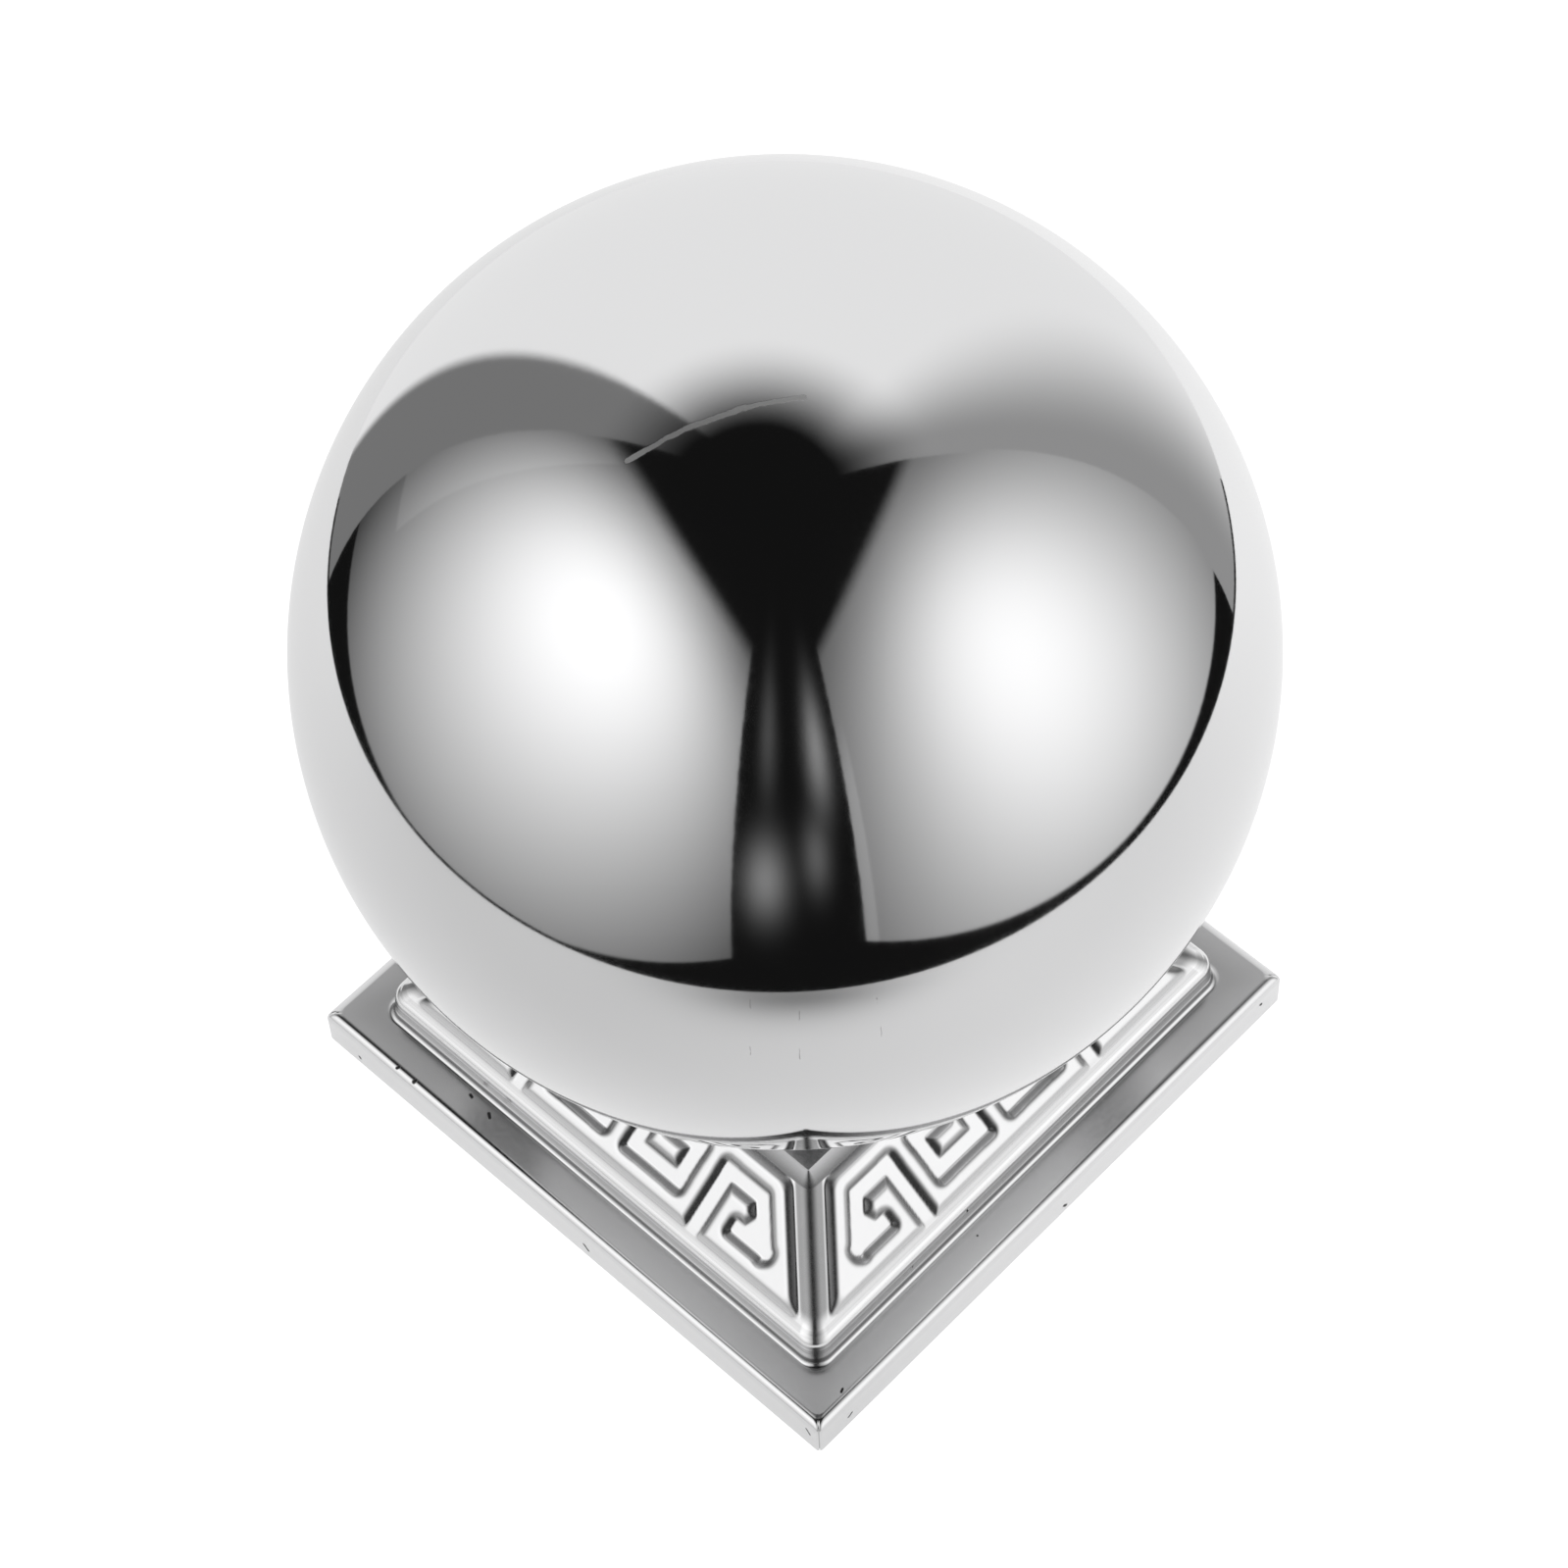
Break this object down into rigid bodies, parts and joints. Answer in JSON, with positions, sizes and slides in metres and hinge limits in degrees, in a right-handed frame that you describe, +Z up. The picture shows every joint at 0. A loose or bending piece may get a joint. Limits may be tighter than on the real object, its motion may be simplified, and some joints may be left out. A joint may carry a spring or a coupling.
{
  "type": "ball newel cap",
  "caption": "Square pressed steel post cap with a raised key fret on its slopes and a large polished ball on a short neck.",
  "frame": {"origin": "middle of the underside, level with the lower edge of the four skirts", "axes": "+Z up along the middle of the ball and the neck; X and Y square to the skirts"},
  "size_m": [0.102, 0.102, 0.1258],
  "materials": {
    "cap_steel": "polished stainless steel sheet, slightly softer than a mirror, with small pits",
    "ball_steel": "mirror-polished stainless steel with fine scratches"
  },
  "bodies": {
    "root": {"pressed_cap": "cap_steel", "ball": "ball_steel"}
  },
  "joints": []
}
